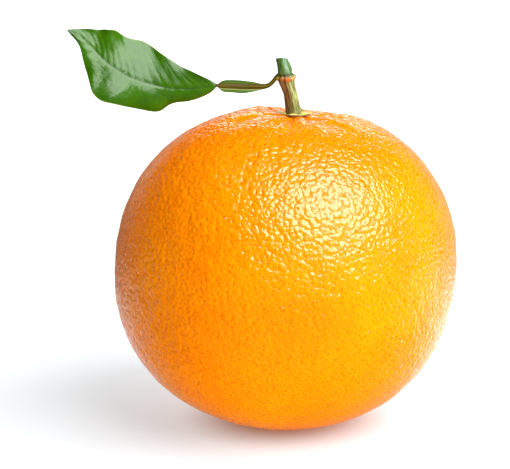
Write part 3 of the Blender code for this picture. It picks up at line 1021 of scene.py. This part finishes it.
def leaf_material(settings):
    material, graph, shader = new_material("leaf_green", ior=1.45, specular_ior_level=0.23)
    blade = graph.parts(graph.attribute("blade").outputs["Vector"])
    where = graph.position()
    under = graph.smooth(blade["Z"], 0.4, 0.6)
    sideways = graph.math("ABSOLUTE", blade["Y"])
    veins = shared(
        graph, vein_group, "Mask",
        Along=blade["X"], Across=blade["Y"], Count=float(settings.veins), Sweep=VEIN_SWEEP, Width=0.09,
    )
    drawn = graph.weighted((blade["X"], 62.0), (graph.math("POWER", sideways, VEIN_CURVE), -5.5))
    inputs = {0: drawn, 1: graph.times(blade["Y"], 2.2), 2: blade["Z"]}
    fine = graph.noise(graph.node("ShaderNodeCombineXYZ", inputs).outputs[0], 1.0, 4.0, 0.6)
    face = shared(
        graph, mottle_group, "Color",
        Vector=where, Ground=settings.upper, Patch=settings.patch, Scale=130.0, Amount=0.9,
    )
    face = graph.mix(graph.times(veins, 0.12), face, settings.vein)
    back = graph.mix(graph.times(veins, 0.5), settings.lower, settings.vein)
    colour = graph.mix(under, face, back)
    rib = graph.smooth(sideways, 0.03, 0.008)
    # On the upper side the midrib gets painted shade in its groove, on the under side the vein colour.
    rib_colour_and_groove_shade = graph.mix(under, settings.groove, settings.vein)
    colour = graph.mix(graph.times(rib, 0.85), colour, rib_colour_and_groove_shade)
    colour = graph.mix(graph.smooth(sideways, 0.965, 0.995, 0.0, 0.7), colour, settings.margin)
    lumps = graph.noise(where, 520.0, 3.0, 0.6)
    cells = graph.noise(where, 2800.0, 2.0, 0.6)
    height = graph.weighted((veins, -0.01), (fine, 0.06), (lumps, 0.12), (cells, 0.012))
    patches = graph.math("MULTIPLY_ADD", graph.noise(where, 170.0), 0.6, fine)
    dull = graph.smooth(patches, 0.65, 1.0, 0.17, 0.3)
    dull = graph.math("MAXIMUM", dull, graph.times(rib, 0.5))
    wire(graph, shader, colour, graph.math("MAXIMUM", dull, graph.times(under, 0.55)), height)
    return material


class ORANGE_OT_leaf(Operator):
    """Build the leaf blade with its midrib, side veins and waved margin"""

    bl_idname = "orange.leaf"
    bl_label = "Leaf Blade"

    def execute(self, context):
        settings = context.scene.orange_leaf
        make_piece("glossy_leaf", leaf_surface, leaf_material, settings, "leaf_blade")
        return {"FINISHED"}


# ---------------------------------------------------------------- stage


class OrangeStageSettings(PropertyGroup):
    """Camera and floor."""

    elevation: FloatProperty(
        name="Camera Elevation", description="Angle of the camera above the horizon",
        default=math.radians(14.0), subtype="ANGLE",
    )
    distance: length_property("Camera Distance", "From the camera to the view's middle", 0.6, 0.2)
    view_width: length_property("View Width", "Width of the view at the fruit's centre", 0.1242, 0.05)
    floor_colour: colour_property("Floor", "Colour of the floor", 0.4, 0.41, 0.42)


VIEW_OFFSET_RIGHT = -7.43 * MM  # the view's middle from the fruit's centre, across and up the picture
VIEW_OFFSET_UP = 7.67 * MM
SENSOR_WIDTH = 36.0
FLOOR_HALF_WIDTH = 6.0
FLOOR_HEIGHT = -0.02 * MM


def place_on_stage(name, data, location, direction):
    """An object for a camera or a light that stands at `location` and looks along `direction`."""
    stood = bpy.data.objects.new(name, data)
    stood.location = location
    stood.rotation_mode = "QUATERNION"
    stood.rotation_quaternion = direction.to_track_quat("-Z", "Y")
    bpy.context.scene.collection.objects.link(stood)
    return stood


def add_camera(settings):
    elevation = settings.elevation
    back = Vector((0, -math.cos(elevation), math.sin(elevation)))
    up = Vector((0, math.sin(elevation), math.cos(elevation)))
    target = Vector(CENTRE) + Vector((VIEW_OFFSET_RIGHT, 0, 0)) + up * VIEW_OFFSET_UP
    data = bpy.data.cameras.new("camera")
    data.sensor_width = SENSOR_WIDTH
    data.lens = SENSOR_WIDTH * settings.distance / settings.view_width
    bpy.context.scene.camera = place_on_stage("camera", data, target + back * settings.distance, -back)


def add_softbox(name, direction, distance, size, radiance, lights, mirrored):
    """A rectangular or round area light that faces the fruit's centre from that direction.

    `radiance` is how bright its face looks, so the wattage follows from the face's area. `lights` and
    `mirrored` say whether it lights surfaces and whether it shows in their gloss.
    """
    direction = Vector(direction).normalized()
    data = bpy.data.lights.new(name, "AREA")
    data.shape = "RECTANGLE" if len(size) == 2 else "DISK"
    data.size = size[0]
    data.size_y = size[-1]
    area = size[0] * size[1] if len(size) == 2 else math.pi * size[0] ** 2 / 4
    data.energy = radiance * math.pi * area
    light = place_on_stage(name, data, Vector(CENTRE) + direction * distance, -direction)
    light.visible_diffuse = lights
    light.visible_glossy = mirrored


def add_world():
    """A white room that lights diffusely: bright behind and low on the right, plain white to the camera."""
    world = bpy.data.worlds.new("white_room")
    bpy.context.scene.world = world
    world.use_nodes = True
    world.cycles_visibility.glossy = False
    graph = Graph(world.node_tree)
    shader = world.node_tree.nodes["Background"]
    direction = graph.node("ShaderNodeTexCoord").outputs["Generated"]
    behind = graph.smooth(graph.parts(direction)["Y"], 0.3, 0.95, 0.03, 1.1)
    reflector = graph.smooth(graph.measure("DOT_PRODUCT", direction, (0.7, -0.68, -0.2)), 0.2, 0.95, 0.0, 1.3)
    seen = graph.node("ShaderNodeLightPath").outputs["Is Camera Ray"]
    strength = graph.between(seen, graph.math("ADD", behind, reflector), 1.0)
    shader.inputs["Color"].default_value = (1, 1, 1, 1)
    graph.tree.links.new(strength, shader.inputs["Strength"])


def add_floor(settings):
    """A wide pale floor. What the camera sees, what the peel mirrors and what it throws back differ.

    The camera sees it glow towards the horizon, so that it ends in white. It throws more light back from
    the right and the front, as a low reflector there would, and mirrors only what lies behind.
    """
    corners = np.array([(-1, -1, 0), (1, -1, 0), (1, 1, 0), (-1, 1, 0)]) * FLOOR_HALF_WIDTH
    corners[:, 2] = FLOOR_HEIGHT
    material, graph, shader = new_material("floor", specular_ior_level=0.0, roughness=0.9)
    where = graph.position()
    path = graph.node("ShaderNodeLightPath").outputs
    place = graph.parts(where)
    near_edge = graph.smooth(place["Y"], -0.03, 0.05)
    behind = graph.math("SUBTRACT", near_edge, graph.smooth(place["Y"], 0.06, 0.15, 0.0, 0.75))
    mirrored = graph.times(behind, graph.smooth(place["X"], -0.13, 0.06, 0.5, 1.5))
    shown = graph.between(path["Is Glossy Ray"], 1.0, mirrored)
    colour = graph.mix(shown, (0, 0, 0, 1), settings.floor_colour)
    graph.tree.links.new(colour, shader.inputs["Base Color"])
    far = graph.measure("LENGTH", where)
    # Painted light: near the fruit the floor glows to the camera, which lifts its shadow; the dip to the
    # fruit's left below is a painted shadow.
    painted_glow_near = graph.smooth(far, 0.004, 0.029, 0.0, 0.65)
    seen = graph.math("ADD", painted_glow_near, graph.smooth(far, 0.075, 0.35, 0.0, 0.6))
    shade = graph.smooth(graph.measure("DISTANCE", where, (-0.05, -0.005, 0.0)), 0.012, 0.07, 0.17, 0.0)
    seen = graph.math("SUBTRACT", seen, shade)
    front = graph.measure("DOT_PRODUCT", where, (0.8, -0.6, 0.0))
    bounce = graph.smooth(front, -0.09, 0.1, 0.15, 1.9)
    thrown = graph.between(path["Is Glossy Ray"], bounce, mirrored)
    glow = graph.between(path["Is Camera Ray"], thrown, seen)
    shader.inputs["Emission Color"].default_value = (0.9, 0.97, 1.0, 1)
    graph.tree.links.new(glow, shader.inputs["Emission Strength"])
    material.cycles.emission_sampling = "NONE"
    mesh = new_mesh("floor", corners, [np.array([[0, 1, 2, 3]])], {})
    mesh.materials.append(material)
    floor = bpy.data.objects.new("floor", mesh)
    bpy.context.scene.collection.objects.link(floor)


# Name, direction from the fruit's centre, distance, size, radiance, whether it lights, and whether it
# is mirrored
SOFTBOXES = (
    ("key_softbox", (0.47, -0.43, 0.77), 0.5, (0.56,), 6.2, True, False),
    ("key_mirror", (0.41, -0.445, 0.80), 0.45, (0.5,), 16.0, False, True),
    ("back_panel", (0.08, 0.94, 0.30), 0.6, (0.3, 0.08), 4.3, True, True),
    ("backdrop", (0.0, 1.0, 0.0), 0.8, (1.5, 0.3), 0.5, False, True),
    ("overhead", (-0.1, 0.5, 1.0), 1.2, (1.6, 1.6), 0.85, True, False),
    ("rim_softbox", (-0.6, 0.8, 0.1), 1.0, (0.8, 0.8), 2.2, True, False),
)


class ORANGE_OT_stage(Operator):
    """Set the floor, the soft studio light and the camera"""

    bl_idname = "orange.stage"
    bl_label = "Stage"

    def execute(self, context):
        settings = context.scene.orange_stage
        add_camera(settings)
        add_floor(settings)
        add_world()
        for name, direction, distance, size, radiance, lights, mirrored in SOFTBOXES:
            add_softbox(name, direction, distance, size, radiance, lights, mirrored)
        context.scene.view_settings.view_transform = "Standard"
        return {"FINISHED"}


class ORANGE_PT_pieces(Panel):
    """Lists the pieces and their settings"""

    bl_label = "Picked Orange"
    bl_idname = "ORANGE_PT_pieces"
    bl_space_type = "VIEW_3D"
    bl_region_type = "UI"
    bl_category = "Orange"

    def draw(self, context):
        for operator, title in PIECES:
            box = self.layout.box()
            box.operator(operator.bl_idname)
            settings = getattr(context.scene, title)
            for name in settings.__annotations__:
                box.prop(settings, name)


SETTINGS = {
    "orange_stage": OrangeStageSettings,
    "orange_peel": OrangePeelSettings,
    "orange_calyx": OrangeCalyxSettings,
    "orange_twig": OrangeTwigSettings,
    "orange_petiole": OrangePetioleSettings,
    "orange_leaf": OrangeLeafSettings,
}
PIECES = (
    (ORANGE_OT_stage, "orange_stage"),
    (ORANGE_OT_fruit, "orange_peel"),
    (ORANGE_OT_calyx, "orange_calyx"),
    (ORANGE_OT_twig, "orange_twig"),
    (ORANGE_OT_petiole, "orange_petiole"),
    (ORANGE_OT_leaf, "orange_leaf"),
)


def register():
    for title, group in SETTINGS.items():
        bpy.utils.register_class(group)
        setattr(bpy.types.Scene, title, PointerProperty(type=group))
    for operator, _ in PIECES:
        bpy.utils.register_class(operator)
    bpy.utils.register_class(ORANGE_PT_pieces)


def unregister():
    bpy.utils.unregister_class(ORANGE_PT_pieces)
    for operator, _ in reversed(PIECES):
        bpy.utils.unregister_class(operator)
    for title, group in reversed(SETTINGS.items()):
        delattr(bpy.types.Scene, title)
        bpy.utils.unregister_class(group)


def main():
    register()
    bpy.ops.orange.stage()
    bpy.ops.orange.fruit()
    bpy.ops.orange.calyx()
    bpy.ops.orange.twig()
    bpy.ops.orange.petiole()
    bpy.ops.orange.leaf()


if __name__ == "__main__":
    main()
